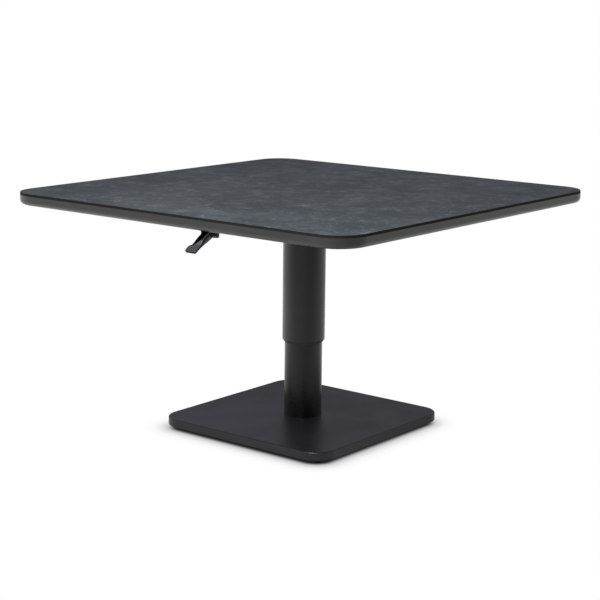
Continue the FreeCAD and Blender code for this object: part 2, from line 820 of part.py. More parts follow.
def ballast_plate():
    inset = base_wall + ballast_edge_gap
    body = rounded_square(base_width - 2 * inset, base_corner_radius - inset, ballast_bottom, ballast_top)
    head_seat = ballast_bottom + column_bolt_diameter * bolt_head_height_ratio + ballast_recess
    head_room = hexagon_reach(column_bolt_diameter * bolt_head_width_ratio) + ballast_recess
    nut_room = hexagon_reach(spring_stud_diameter * bolt_head_width_ratio) + ballast_recess
    for x, y in circle_places(column_bolt_circle):
        body = body.cut(rod_z(column_bolt_diameter / 2 + hole_gap, ballast_bottom, ballast_top, x, y))
        body = body.cut(rod_z(head_room, ballast_bottom, head_seat, x, y))
    body = body.cut(rod_z(nut_room, ballast_bottom, ballast_top))
    for x, y in corner_places(foot_place, foot_place):
        body = body.cut(rod_z(insert_diameter / 2 + running_gap, ballast_bottom, ballast_top, x, y))
    return body


def column_foot_plate():
    body = rod_z(foot_plate_diameter / 2, ballast_top, cover_inside_top)
    body = body.cut(rod_z(spring_stud_diameter / 2 + running_gap, ballast_top, cover_inside_top))
    for x, y in circle_places(column_bolt_circle):
        body = body.cut(rod_z(column_bolt_diameter / 2 + running_gap, ballast_top, cover_inside_top, x, y))
    return body


def column_bolts():
    seat = ballast_bottom + column_bolt_diameter * bolt_head_height_ratio + ballast_recess
    return Part.makeCompound([bolt(column_bolt_diameter, seat, cover_inside_top, x, y)
                              for x, y in circle_places(column_bolt_circle)])


def foot_inserts():
    thread = foot_stud_diameter / 2 + running_gap
    return Part.makeCompound([
        ring_z(insert_diameter / 2, thread, ballast_bottom, cover_inside_top, x, y)
        for x, y in corner_places(foot_place, foot_place)])


def foot_glide(x, y):
    body = rod_z(foot_diameter / 2, 0.0, ballast_bottom, x, y)
    neck_bottom = ballast_bottom - foot_neck_length
    return body.cut(rod_z(foot_neck_diameter / 2 + running_gap, neck_bottom, ballast_bottom, x, y))


def foot_stud(x, y):
    shank = rod_z(foot_stud_diameter / 2, ballast_bottom, cover_inside_top - foot_stud_top_gap, x, y)
    return shank.fuse(rod_z(foot_neck_diameter / 2, ballast_bottom - foot_neck_length, ballast_bottom, x, y))


def all_parts():
    parts = {
        "top_panel": top_panel(),
        "rim_frame": rim_frame(),
        "rail_left": rail(-1),
        "rail_right": rail(1),
        "outrigger_left": outrigger(-1),
        "outrigger_right": outrigger(1),
        "panel_screws": panel_screws(),
        "mounting_plate": mounting_plate(),
        "plate_bolts": plate_bolts(),
        "column_flange": column_flange(),
        "flange_bolts": flange_bolts(),
        "upper_tube": upper_tube(),
        "guide_collar": guide_collar(),
        "guide_key": guide_key(),
        "lower_tube": lower_tube(),
        "guide_bush": guide_bush(),
        "spring_cylinder": spring_cylinder(),
        "spring_nut": spring_nut(),
        "spring_gland": spring_gland(),
        "centring_ring": centring_ring(),
        "piston": piston(),
        "piston_rod": piston_rod(),
        "release_pin": release_pin(),
        "release_head": release_head(),
        "head_screws": head_screws(),
        "rocker_pin": rocker_pin(),
        "release_rocker": release_rocker(),
        "release_lever": release_lever(),
        "lever_bracket": lever_bracket(),
        "bracket_screws": bracket_screws(),
        "lever_pin": lever_pin(),
        "cable_adjuster": cable_adjuster(),
        "adjuster_nut": adjuster_nut(),
        "cable_sheath": cable_sheath(),
        "cable_clip": cable_clip(),
        "cable_clip_screw": cable_clip_screw(),
        "inner_wire_lever_end": inner_wire_lever_end(),
        "inner_wire_head_end": inner_wire_head_end(),
        "base_cover": base_cover(),
        "ballast_plate": ballast_plate(),
        "column_foot_plate": column_foot_plate(),
        "column_bolts": column_bolts(),
        "foot_inserts": foot_inserts(),
    }
    feet = {"front_left": (-1, -1), "front_right": (1, -1), "rear_left": (-1, 1), "rear_right": (1, 1)}
    for name, (side_x, side_y) in feet.items():
        x = side_x * foot_place
        y = side_y * foot_place
        parts["foot_glide_" + name] = foot_glide(x, y)
        parts["foot_stud_" + name] = foot_stud(x, y)
    return parts


os.makedirs("parts", exist_ok=True)
for node, shape in all_parts().items():
    shape.exportStep("parts/" + node + ".step")
    print(node, len(shape.Solids), "solid(s), volume", round(shape.Volume), "valid", shape.isValid())
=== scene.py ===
import math

import bmesh
import bpy
from mathutils import Matrix, Vector


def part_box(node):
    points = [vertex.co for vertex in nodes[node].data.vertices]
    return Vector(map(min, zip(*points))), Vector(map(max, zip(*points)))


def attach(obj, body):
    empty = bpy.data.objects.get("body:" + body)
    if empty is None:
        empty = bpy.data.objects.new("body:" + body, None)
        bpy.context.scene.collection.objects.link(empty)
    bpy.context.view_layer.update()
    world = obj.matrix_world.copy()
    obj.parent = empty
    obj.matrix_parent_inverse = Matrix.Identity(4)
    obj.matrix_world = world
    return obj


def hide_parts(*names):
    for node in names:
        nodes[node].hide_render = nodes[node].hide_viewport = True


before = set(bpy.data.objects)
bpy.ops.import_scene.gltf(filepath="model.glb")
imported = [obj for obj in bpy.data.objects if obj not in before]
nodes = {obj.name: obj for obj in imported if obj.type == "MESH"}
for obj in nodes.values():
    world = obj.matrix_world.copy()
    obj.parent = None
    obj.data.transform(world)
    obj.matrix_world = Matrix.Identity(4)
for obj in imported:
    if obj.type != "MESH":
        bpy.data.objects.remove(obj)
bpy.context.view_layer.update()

# Camera and studio

cameraSetup = {
    "place": (2.3144, -2.9020, 1.0821),
    "turn": 38.722,
    "dip": 11.666,
    "roll": 0.616,
    "lens": 93.161,
    "sensor": 36.0,
    "farClip": 200.0,
}

# brightness goes by fixed directions: front is where the main view stands, far is behind the table,
# left and right lie across, and a reach is the stretch over which one value turns into the next
studio = {
    "towardFront": (0.62, -0.78),
    "towardRight": (0.78, 0.62),
    "floorRadius": 30.0,
    "floorSides": 96,
    "floorColour": (0.25, 0.25, 0.25, 1.0),
    "baseCorner": 0.054,
    "footGlow": 0.42,  # right beside the base, which shades it
    "footReach": (-0.002, 0.001),
    "nearGlow": 0.45,
    "nearReach": (0.0, 0.03),
    "ringGlow": 0.95,
    "ringReach": (0.15, 0.55),
    "outerGlow": 0.85,
    "outerReach": (0.7, 1.6),
    "frontFloor": 0.55,
    "frontReach": (0.1, 1.0),
    "sideFloor": (1.22, 0.82),
    "sideReach": (-1.2, 1.2),
    # floor brightness that the camera sees, by distance from the base's edge
    "contactShadow": ((-0.030, 0.012), (-0.018, 0.016), (-0.0120, 0.070), (-0.0065, 0.28), (-0.001, 0.50),
                      (0.005, 0.65), (0.015, 0.78), (0.024, 0.88), (0.036, 0.95), (0.060, 1.0)),
    # painted shade: the floor's colour is darker under the base
    "shadeUnderBase": (0.22, 0.22, 0.22, 1.0),
    "shadeUnderReach": (-0.034, -0.008),
    "keyPlace": (0.5, -1.35, 1.55),
    "keyAim": (0.0, 0.0, 0.45),
    "keySize": 0.8,
    "keyPower": 44.0,
    "backdrop": 1.0,
    "skyOverhead": 0.29,
    "skyTop": (0.30, 0.80),
    "skySides": (0.95, 0.75),  # left and right
    "skySideReach": (-0.4, 0.4),
    "skyFar": (0.0, 0.5),  # behind the table, at the horizon and higher up
    "skyFarTop": (0.0, 0.5),
    "skyFarColour": (0.95, 0.96, 1.11, 1.0),
    "skyFarReach": (-0.95, -0.45),
    "skyFront": 0.08,
    "skyFrontReach": (0.15, 0.8),
}

white = (1.0, 1.0, 1.0, 1.0)
black = (0.0, 0.0, 0.0, 1.0)


def makeCamera():
    print("camera")
    data = bpy.data.cameras.new("camera")
    data.lens = cameraSetup["lens"]
    data.sensor_width = cameraSetup["sensor"]
    data.clip_end = cameraSetup["farClip"]
    camera = bpy.data.objects.new("camera", data)
    bpy.context.scene.collection.objects.link(camera)
    turn = Matrix.Rotation(math.radians(cameraSetup["turn"]), 4, "Z")
    dip = Matrix.Rotation(math.radians(90.0 - cameraSetup["dip"]), 4, "X")
    roll = Matrix.Rotation(math.radians(cameraSetup["roll"]), 4, "Z")
    camera.matrix_world = Matrix.Translation(cameraSetup["place"]) @ turn @ dip @ roll
    bpy.context.scene.camera = camera


# Material helpers

def startMaterial(name):
    material = bpy.data.materials.new(name)
    material.use_nodes = True
    tree = material.node_tree
    tree.nodes.clear()
    output = tree.nodes.new("ShaderNodeOutputMaterial")
    shader = tree.nodes.new("ShaderNodeBsdfPrincipled")
    tree.links.new(shader.outputs["BSDF"], output.inputs["Surface"])
    return material, tree, shader


# a second finish that takes over where share is 1
def secondShader(tree, shader, share):
    other = tree.nodes.new("ShaderNodeBsdfPrincipled")
    mixShaders(tree, share, shader.outputs["BSDF"], other.outputs["BSDF"], outputOf(tree))
    return other


def feed(tree, socket, value):
    if isinstance(value, bpy.types.NodeSocket):
        tree.links.new(value, socket)
    else:
        socket.default_value = value


def addNode(tree, kind, settings=None, **inputs):
    node = tree.nodes.new(kind)
    for key, value in (settings or {}).items():
        setattr(node, key, value)
    for key, value in inputs.items():
        feed(tree, node.inputs[key.replace("_", " ")], value)
    return node


def objectPlace(tree, scale=(1.0, 1.0, 1.0), turn=(0.0, 0.0, 0.0)):
    coords = addNode(tree, "ShaderNodeTexCoord")
    mapping = addNode(tree, "ShaderNodeMapping", Vector=coords.outputs["Object"],
                      Scale=scale, Rotation=turn)
    return mapping.outputs["Vector"]


def cloud(tree, place, scale, detail=4.0, rough=0.55, twist=0.0):
    noise = addNode(tree, "ShaderNodeTexNoise", Vector=place, Scale=scale,
                    Detail=detail, Roughness=rough, Distortion=twist)
    return noise.outputs["Fac"]


# low to high in the field becomes outLow to outHigh
def spread(tree, field, low, high, outLow=0.0, outHigh=1.0, blend="SMOOTHSTEP"):
    node = addNode(tree, "ShaderNodeMapRange", {"interpolation_type": blend},
                   Value=field, From_Min=low, From_Max=high, To_Min=outLow, To_Max=outHigh)
    return node.outputs["Result"]


def blendColours(tree, field, first, second):
    node = tree.nodes.new("ShaderNodeMix")
    node.data_type = "RGBA"
    for index, value in ((0, field), (6, first), (7, second)):
        feed(tree, node.inputs[index], value)
    return node.outputs[2]


def sums(tree, operation, first, second=0.0):
    node = tree.nodes.new("ShaderNodeMath")
    node.operation = operation
    feed(tree, node.inputs[0], first)
    feed(tree, node.inputs[1], second)
    return node.outputs[0]


def vectorSums(tree, operation, first, second=(0.0, 0.0, 0.0)):
    node = tree.nodes.new("ShaderNodeVectorMath")
    node.operation = operation
    feed(tree, node.inputs[0], first)
    feed(tree, node.inputs[1], second)
    return node.outputs["Value" if operation in ("LENGTH", "DOT_PRODUCT") else "Vector"]


# how far a place lies along a level direction
def alongGround(tree, split, direction):
    east = sums(tree, "MULTIPLY", split.outputs["X"], direction[0])
    north = sums(tree, "MULTIPLY", split.outputs["Y"], direction[1])
    return sums(tree, "ADD", east, north)


def outputOf(tree):
    return [node for node in tree.nodes if node.type == "OUTPUT_MATERIAL"][0]


def mixShaders(tree, share, first, second, output):
    mix = tree.nodes.new("ShaderNodeMixShader")
    for socket, source in zip(mix.inputs, (share, first, second)):
        tree.links.new(source, socket)
    tree.links.new(mix.outputs[0], output.inputs["Surface"])


def relief(tree, shader, height, strength, distance):
    node = addNode(tree, "ShaderNodeBump", Strength=strength, Distance=distance, Height=height)
    tree.links.new(node.outputs["Normal"], shader.inputs["Normal"])


def dress(material, *names):
    for name in names:
        for slot in nodes[name].material_slots:
            slot.material = material


# Studio

def makeSky():
    world = bpy.data.worlds.new("studio")
    bpy.context.scene.world = world
    world.use_nodes = True
    tree = world.node_tree
    tree.nodes.clear()
    output = tree.nodes.new("ShaderNodeOutputWorld")
    backdrop = addNode(tree, "ShaderNodeBackground", Color=white, Strength=studio["backdrop"])
    coords = addNode(tree, "ShaderNodeTexCoord")
    split = addNode(tree, "ShaderNodeSeparateXYZ", Vector=coords.outputs["Generated"])
    up = split.outputs["Z"]
    facing = alongGround(tree, split, studio["towardFront"])
    across = alongGround(tree, split, studio["towardRight"])
    side = spread(tree, across, *studio["skySideReach"], *studio["skySides"])
    far = spread(tree, up, *studio["skyFarTop"], *studio["skyFar"])
    behind = spread(tree, facing, *studio["skyFarReach"], far, side)
    around = spread(tree, facing, *studio["skyFrontReach"], behind, studio["skyFront"])
    strength = spread(tree, up, *studio["skyTop"], around, studio["skyOverhead"])
    colour = blendColours(tree, spread(tree, facing, *studio["skyFarReach"]), studio["skyFarColour"], white)
    sky = addNode(tree, "ShaderNodeBackground", Color=colour, Strength=strength)
    path = addNode(tree, "ShaderNodeLightPath")
    mixShaders(tree, path.outputs["Is Camera Ray"], sky.outputs[0], backdrop.outputs[0], output)


def makeKeyLight():
    data = bpy.data.lights.new("keyLight", "AREA")
    data.shape = "DISK"
    data.size = studio["keySize"]
    data.energy = studio["keyPower"]
    key = bpy.data.objects.new("keyLight", data)
    bpy.context.scene.collection.objects.link(key)
    aim = Vector(studio["keyPlace"]) - Vector(studio["keyAim"])
    turn = aim.to_track_quat("Z", "Y").to_matrix().to_4x4()
    key.matrix_world = Matrix.Translation(studio["keyPlace"]) @ turn


# distance from the outline of the base, less than nothing below it
def distanceFromBase(tree, place):
    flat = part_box("base_cover")[1].x - studio["baseCorner"]
    beyond = vectorSums(tree, "SUBTRACT", vectorSums(tree, "ABSOLUTE", place), (flat, flat, 1.0))
    beyond = vectorSums(tree, "LENGTH", vectorSums(tree, "MAXIMUM", beyond))
    return sums(tree, "SUBTRACT", beyond, studio["baseCorner"])


# the light that the floor gives the table
def floorGlow(tree, place, distance):
    glow = spread(tree, distance, *studio["nearReach"], studio["footGlow"], studio["nearGlow"])
    glow = sums(tree, "MULTIPLY", glow, spread(tree, distance, *studio["footReach"]))
    fading = spread(tree, distance, *studio["outerReach"], studio["ringGlow"], studio["outerGlow"])
    glow = spread(tree, distance, *studio["ringReach"], glow, fading)
    split = addNode(tree, "ShaderNodeSeparateXYZ", Vector=place)
    facing = alongGround(tree, split, studio["towardFront"])
    front = spread(tree, facing, *studio["frontReach"], 1.0, studio["frontFloor"])
    across = alongGround(tree, split, studio["towardRight"])
    side = spread(tree, across, *studio["sideReach"], *studio["sideFloor"])
    return sums(tree, "MULTIPLY", sums(tree, "MULTIPLY", glow, front), side)


# the soft shadow round the base
def floorShadow(tree, distance):
    stops = studio["contactShadow"]
    start, end = stops[0][0], stops[-1][0]
    ramp = addNode(tree, "ShaderNodeValToRGB", Fac=spread(tree, distance, start, end, blend="LINEAR"))
    elements = ramp.color_ramp.elements
    first = stops[0][1]
    elements[0].color = (first, first, first, 1.0)
    for at, bright in stops[1:-1]:
        elements.new((at - start) / (end - start)).color = (bright, bright, bright, 1.0)
    return ramp.outputs["Color"]


def makeFloor():
    mesh = bpy.data.meshes.new("floor")
    form = bmesh.new()
    bmesh.ops.create_circle(form, cap_ends=True, segments=studio["floorSides"], radius=studio["floorRadius"])
    form.to_mesh(mesh)
    form.free()
    floor = bpy.data.objects.new("floor", mesh)
    bpy.context.scene.collection.objects.link(floor)
    material, tree, shader = startMaterial("paleFloor")
    shader.inputs["Roughness"].default_value = 1.0
    shader.inputs["Specular IOR Level"].default_value = 0.0
    shader.inputs["Emission Color"].default_value = white
    place = objectPlace(tree)
    distance = distanceFromBase(tree, place)
    seen = addNode(tree, "ShaderNodeLightPath").outputs["Is Camera Ray"]
    shadow = sums(tree, "MULTIPLY", floorShadow(tree, distance), seen)
    glow = sums(tree, "MULTIPLY", floorGlow(tree, place, distance), sums(tree, "SUBTRACT", 1.0, seen))
    tree.links.new(sums(tree, "ADD", glow, shadow), shader.inputs["Emission Strength"])
    # painted shade: the floor colour turns darker under the base
    unshadedFloor = spread(tree, distance, *studio["shadeUnderReach"])
    colour = blendColours(tree, unshadedFloor, studio["shadeUnderBase"], studio["floorColour"])
    tree.links.new(blendColours(tree, seen, colour, black), shader.inputs["Base Color"])
    below = addNode(tree, "ShaderNodeNewGeometry").outputs["Backfacing"]  # seen from below the floor is clear
    clear = tree.nodes.new("ShaderNodeBsdfTransparent")
    mixShaders(tree, below, shader.outputs["BSDF"], clear.outputs["BSDF"], outputOf(tree))
    mesh.materials.append(material)


def makeStudio():
    print("studio")
    makeSky()
    makeKeyLight()
    makeFloor()
    bpy.context.scene.view_settings.view_transform = "Standard"
    bpy.context.scene.view_settings.look = "None"


# Slate-look top

# a noise is scale, detail, roughness and distortion; a spread is the part of a noise that is used,
# and two more values after it are what its ends turn into
slate = {
    "dark": (0.018, 0.024, 0.028, 1.0),
    "middle": (0.033, 0.040, 0.045, 1.0),
    "pale": (0.130, 0.149, 0.160, 1.0),
    "broad": (3.2, 5.0, 0.6, 0.0),
    "broadSpread": (0.35, 0.65),
    "patch": (18.0, 8.0, 0.70, 0.3),
    "patchSpread": (0.42, 0.80, 0.0, 0.26),
    "fleck": (62.0, 5.0, 0.62, 0.6),
    "fleckSpread": (0.53, 0.66),
    "fleckPatches": (0.42, 0.60),
    "fleckShare": 0.52,
    "speck": (115.0, 4.0, 0.66, 0.0),
    "speckSpread": (0.50, 0.70, 0.0, 0.19),
    "grain": (420.0, 3.0, 0.6, 0.0),
    "patchHeight": 0.6,
    "grainHeight": 0.4,
    "relief": (0.35, 0.0006),
    "roughSpread": (0.3, 0.7, 0.58, 0.46),
    "shine": 0.35,
    "faceDepth": 0.0002,
    "backDepth": 0.0001,
    "edge": (0.0085, 0.0087, 0.0082, 1.0),
    "edgeRoughSpread": (0.3, 0.7, 0.6, 0.75),
    "edgeShine": 0.08,
    "backing": (0.030, 0.030, 0.032, 1.0),
    "backingDark": (0.020, 0.020, 0.021, 1.0),
    "backingSpread": (0.4, 0.75, 0.0, 0.6),
    "fibre": (0.043, 0.042, 0.041, 1.0),
    "fibreNoise": (520.0, 4.0, 0.7, 0.0),
    "fibreSpread": (0.48, 0.68),
    "fibreStretch": (1.0, 0.12, 1.0),
    "fibreTurn": (0.0, 0.0, 0.4),
}


def dressTop():
    print("slate top")
    low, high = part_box("top_panel")
    material, tree, shader = startMaterial("slateTop")
    place = objectPlace(tree)
    broad, patch, fleck, speck, grain = [cloud(tree, place, *slate[name])
                                         for name in ("broad", "patch", "fleck", "speck", "grain")]
    base = blendColours(tree, spread(tree, broad, *slate["broadSpread"]), slate["dark"], slate["middle"])
    base = blendColours(tree, spread(tree, patch, *slate["patchSpread"]), base, slate["pale"])
    flecks = sums(tree, "MULTIPLY", spread(tree, fleck, *slate["fleckSpread"]),
                  spread(tree, patch, *slate["fleckPatches"]))
    base = blendColours(tree, sums(tree, "MULTIPLY", flecks, slate["fleckShare"]), base, slate["pale"])
    base = blendColours(tree, spread(tree, speck, *slate["speckSpread"]), base, slate["pale"])
    tree.links.new(base, shader.inputs["Base Color"])
    tree.links.new(spread(tree, patch, *slate["roughSpread"]), shader.inputs["Roughness"])
    shader.inputs["Specular IOR Level"].default_value = slate["shine"]
    height = sums(tree, "ADD", sums(tree, "MULTIPLY", patch, slate["patchHeight"]),
                  sums(tree, "MULTIPLY", grain, slate["grainHeight"]))
    relief(tree, shader, height, *slate["relief"])

    # the dark core at the edge, and the fibrous backing below
    split = addNode(tree, "ShaderNodeSeparateXYZ", Vector=place)
    isTop = sums(tree, "GREATER_THAN", split.outputs["Z"], high.z - slate["faceDepth"])
    isEdge = sums(tree, "GREATER_THAN", split.outputs["Z"], low.z + slate["backDepth"])
    side = secondShader(tree, shader, sums(tree, "SUBTRACT", 1.0, isTop))
    fibre = cloud(tree, objectPlace(tree, slate["fibreStretch"], slate["fibreTurn"]), *slate["fibreNoise"])
    backing = blendColours(tree, spread(tree, fibre, *slate["fibreSpread"]), slate["backing"], slate["fibre"])
    backing = blendColours(tree, spread(tree, patch, *slate["backingSpread"]), backing, slate["backingDark"])
    tree.links.new(blendColours(tree, isEdge, backing, slate["edge"]), side.inputs["Base Color"])
    tree.links.new(spread(tree, grain, *slate["edgeRoughSpread"]), side.inputs["Roughness"])
    side.inputs["Specular IOR Level"].default_value = slate["edgeShine"]
    dress(material, "top_panel")


# Powder-coated metal

paints = {
    "rimPaint": {
        "colour": (0.014, 0.014, 0.015, 1.0), "lighter": (0.018, 0.018, 0.019, 1.0),
        "rough": 0.27, "shine": 0.5, "nodes": ("rim_frame",),
    },
    "columnPaint": {
        "colour": (0.0018, 0.0020, 0.0024, 1.0), "lighter": (0.0030, 0.0032, 0.0036, 1.0),
        "rough": 0.30, "shine": 0.47, "nodes": ("upper_tube",),
    },
    "innerTubePaint": {
        "colour": (0.0018, 0.0020, 0.0024, 1.0), "lighter": (0.0030, 0.0032, 0.0036, 1.0),
        "rough": 0.28, "shine": 0.36, "nodes": ("lower_tube",),
    },
    "basePaint": {
        "colour": (0.0110, 0.0110, 0.0140, 1.0), "lighter": (0.0135, 0.0135, 0.0165, 1.0),
        "rough": 0.33, "shine": 0.33, "nodes": ("base_cover",),
    },
    "railPaint": {
        "colour": (0.030, 0.030, 0.032, 1.0), "lighter": (0.036, 0.036, 0.038, 1.0),
        "rough": 0.45, "shine": 0.4,
        "nodes": ("rail_left", "rail_right", "outrigger_left", "outrigger_right",
                  "mounting_plate", "column_flange"),
    },
}

paintGrain = {
    "patch": (9.0, 4.0),
    "patchSpread": (0.3, 0.7),
    "fine": (900.0, 2.0, 0.5),
    "relief": (0.25, 0.0003),
    "roughSpread": (0.25, 0.75),
    "smoother": 0.04,
    "rougher": 0.06,
}


def dressPaint(name):
    print("paint:", name)
    look = paints[name]
    material, tree, shader = startMaterial(name)
    place = objectPlace(tree)
    patch = cloud(tree, place, *paintGrain["patch"])
    grain = cloud(tree, place, *paintGrain["fine"])
    patches = spread(tree, patch, *paintGrain["patchSpread"])
    colour = blendColours(tree, patches, look["colour"], look["lighter"])
    tree.links.new(colour, shader.inputs["Base Color"])
    rough = spread(tree, patch, *paintGrain["roughSpread"],
                   look["rough"] - paintGrain["smoother"], look["rough"] + paintGrain["rougher"])
    tree.links.new(rough, shader.inputs["Roughness"])
    shader.inputs["Specular IOR Level"].default_value = look["shine"]
    relief(tree, shader, grain, *paintGrain["relief"])
    dress(material, *look["nodes"])
    return material, tree, shader


# the collar's lip is bare matt plastic below the painted sleeve
collarLip = {
    "colour": (0.048, 0.049, 0.052, 1.0),
    "darker": (0.0384, 0.0392, 0.0416, 1.0),
    "rough": 0.6,
    "grain": (500.0, 3.0),
    "relief": (0.3, 0.0002),
    "below": 0.0006,
}


def dressCollar():
    paints["collarPaint"] = dict(paints["columnPaint"], nodes=("guide_collar",))
    tree, shader = dressPaint("collarPaint")[1:]
    place = objectPlace(tree)
    split = addNode(tree, "ShaderNodeSeparateXYZ", Vector=place)
    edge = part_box("upper_tube")[0].z
    lip = secondShader(tree, shader, spread(tree, split.outputs["Z"], edge, edge - collarLip["below"]))
    grain = cloud(tree, place, *collarLip["grain"])
    colour = blendColours(tree, grain, collarLip["darker"], collarLip["colour"])
    tree.links.new(colour, lip.inputs["Base Color"])
    lip.inputs["Roughness"].default_value = collarLip["rough"]
    relief(tree, lip, grain, *collarLip["relief"])


# Bare metal and plastic; stretch is how far the grain is drawn out along x, y and z

finishes = {
    "zincSteel": {
        "colour": (0.40, 0.42, 0.45, 1.0), "stain": (0.24, 0.25, 0.25, 1.0), "stains": 0.5,
        "rough": 0.36, "roughSpread": 0.10, "metal": 1.0, "patch": 70.0,
        "grain": 900.0, "stretch": (1.0, 1.0, 1.0), "relief": 0.25,
        "nodes": ("spring_nut", "rocker_pin", "adjuster_nut", "foot_inserts", "inner_wire_lever_end",
                  "inner_wire_head_end", "release_rocker", "spring_gland", "release_pin"),
    },
    "blackPlastic": {
        "colour": (0.012, 0.012, 0.013, 1.0), "stain": (0.018, 0.018, 0.019, 1.0), "stains": 0.8,
        "rough": 0.46, "roughSpread": 0.08, "metal": 0.0, "patch": 60.0,
        "grain": 1400.0, "stretch": (1.0, 1.0, 1.0), "relief": 0.35,
        "nodes": ("guide_bush", "centring_ring", "piston", "cable_sheath", "cable_clip", "lever_bracket"),
    },
    "rawSteel": {
        "colour": (0.10, 0.105, 0.115, 1.0), "stain": (0.055, 0.052, 0.050, 1.0), "stains": 1.0,
        "rough": 0.48, "roughSpread": 0.14, "metal": 0.8, "patch": 26.0,
        "grain": 500.0, "stretch": (0.05, 1.0, 1.0), "relief": 0.3,
        "nodes": ("ballast_plate", "column_foot_plate", "guide_key"),
    },
    "springPaint": {
        "colour": (0.013, 0.013, 0.014, 1.0), "stain": (0.018, 0.018, 0.019, 1.0), "stains": 0.6,
        "rough": 0.28, "roughSpread": 0.06, "metal": 0.0, "patch": 40.0,
        "grain": 350.0, "stretch": (1.0, 1.0, 1.0), "relief": 0.2,
        "nodes": ("spring_cylinder",),
    },
    "rodChrome": {
        "colour": (0.62, 0.63, 0.65, 1.0), "stain": (0.50, 0.51, 0.53, 1.0), "stains": 0.5,
        "rough": 0.14, "roughSpread": 0.05, "metal": 1.0, "patch": 30.0,
        "grain": 1200.0, "stretch": (0.03, 0.03, 1.0), "relief": 0.08,
        "nodes": ("piston_rod",),
    },
    "castAluminium": {
        "colour": (0.42, 0.42, 0.43, 1.0), "stain": (0.27, 0.27, 0.28, 1.0), "stains": 0.8,
        "rough": 0.50, "roughSpread": 0.12, "metal": 1.0, "patch": 90.0,
        "grain": 420.0, "stretch": (1.0, 1.0, 1.0), "relief": 0.6,
        "nodes": ("release_head",),
    },
}

finishGrain = {
    "patchDetail": 5.0,
    "grainDetail": 3.0,
    "stainSpread": (0.42, 0.72),
    "roughSpread": (0.3, 0.7),
    "reliefDepth": 0.0002,
}


def dressFinish(name):
    print("finish:", name)
    look = finishes[name]
    material, tree, shader = startMaterial(name)
    place = objectPlace(tree)
    patch = cloud(tree, place, look["patch"], finishGrain["patchDetail"])
    stain = sums(tree, "MULTIPLY", spread(tree, patch, *finishGrain["stainSpread"]), look["stains"])
    tree.links.new(blendColours(tree, stain, look["colour"], look["stain"]), shader.inputs["Base Color"])
    grain = cloud(tree, objectPlace(tree, look["stretch"]), look["grain"], finishGrain["grainDetail"])
    halves = sums(tree, "ADD", sums(tree, "MULTIPLY", patch, 0.5), sums(tree, "MULTIPLY", grain, 0.5))
    rough = spread(tree, halves, *finishGrain["roughSpread"],
                   look["rough"] - look["roughSpread"] / 2.0, look["rough"] + look["roughSpread"])
    tree.links.new(rough, shader.inputs["Roughness"])
    shader.inputs["Metallic"].default_value = look["metal"]
    relief(tree, shader, grain, look["relief"], finishGrain["reliefDepth"])
    dress(material, *look["nodes"])
    return material, tree, shader


corners = ("front_left", "front_right", "rear_left", "rear_right")

# zinc steel with a rolled thread, pitch in metres along the given axis
threads = {
    "footThread": {
        "pitch": 0.00125, "along": (0.0, 0.0, 1.0),
        "nodes": tuple("foot_stud_" + corner for corner in corners),
    },
    "adjusterThread": {"pitch": 0.0010, "along": (0.0, 0.819, 0.574), "nodes": ("cable_adjuster",)},
}
threadRelief = (0.8, 0.0004)


def dressThread(name):
    look = threads[name]
    finishes[name] = dict(finishes["zincSteel"], nodes=look["nodes"])
    tree, shader = dressFinish(name)[1:]
    along = vectorSums(tree, "DOT_PRODUCT", objectPlace(tree), look["along"])
    turns = sums(tree, "MULTIPLY", along, 2.0 * math.pi / look["pitch"])
    height = sums(tree, "MULTIPLY", sums(tree, "SINE", turns), 0.5)
    relief(tree, shader, height, *threadRelief)


# Mesh helpers

mergeWithin = 0.000001
sharpFrom = math.radians(38.0)


def pieceFrom(form, name, material, body, slotName, *replaced):
    bmesh.ops.remove_doubles(form, verts=form.verts, dist=mergeWithin)
    bmesh.ops.recalc_face_normals(form, faces=form.faces)
    for face in form.faces:
        face.smooth = True
    for edge in form.edges:
        edge.smooth = len(edge.link_faces) == 2 and edge.calc_face_angle(0.0) < sharpFrom
    mesh = bpy.data.meshes.new(name)
    form.to_mesh(mesh)
    form.free()
    piece = bpy.data.objects.new(name, mesh)
    bpy.context.scene.collection.objects.link(piece)
    mesh.materials.append(material)
    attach(piece, body)
    if replaced:
        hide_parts(*replaced)
    return piece


# pushes an end face on; keep leaves the old face behind as the closed end
def growCap(form, cap, keep=False):
    grown = bmesh.ops.extrude_face_region(form, geom=[cap])["geom"]
    if not keep:
        bmesh.ops.delete(form, geom=[cap], context="FACES_ONLY")
    verts = [item for item in grown if isinstance(item, bmesh.types.BMVert)]
    return verts, [item for item in grown if isinstance(item, bmesh.types.BMFace)][0]


# a solid of revolution about z; rings are (radius, height) pairs from one end to the other
def turnedForm(form, rings, segments):
    made = bmesh.ops.create_circle(form, cap_ends=True, segments=segments, radius=rings[0][0])
    verts = list(made["verts"])
    every = list(verts)
    bmesh.ops.translate(form, verts=verts, vec=(0.0, 0.0, rings[0][1]))
    cap = verts[0].link_faces[0]
    for (radius, height), (nextRadius, nextHeight) in zip(rings, rings[1:]):
        verts, cap = growCap(form, cap, len(every) == len(verts))
        bmesh.ops.scale(form, vec=(nextRadius / radius, nextRadius / radius, 1.0), verts=verts)
        bmesh.ops.translate(form, verts=verts, vec=(0.0, 0.0, nextHeight - height))
        every += verts
    return cap, every


def settle(form, verts, place, turn):
    bmesh.ops.transform(form, matrix=Matrix.Translation(place) @ turn, verts=verts)


def cornersAt(x, y):
    return [(sx * x, sy * y) for sx in (-1, 1) for sy in (-1, 1)]


def clamped(value):
    return min(max(value, 0.0), 1.0)


def eased(share):
    return share * share * (3.0 - 2.0 * share)


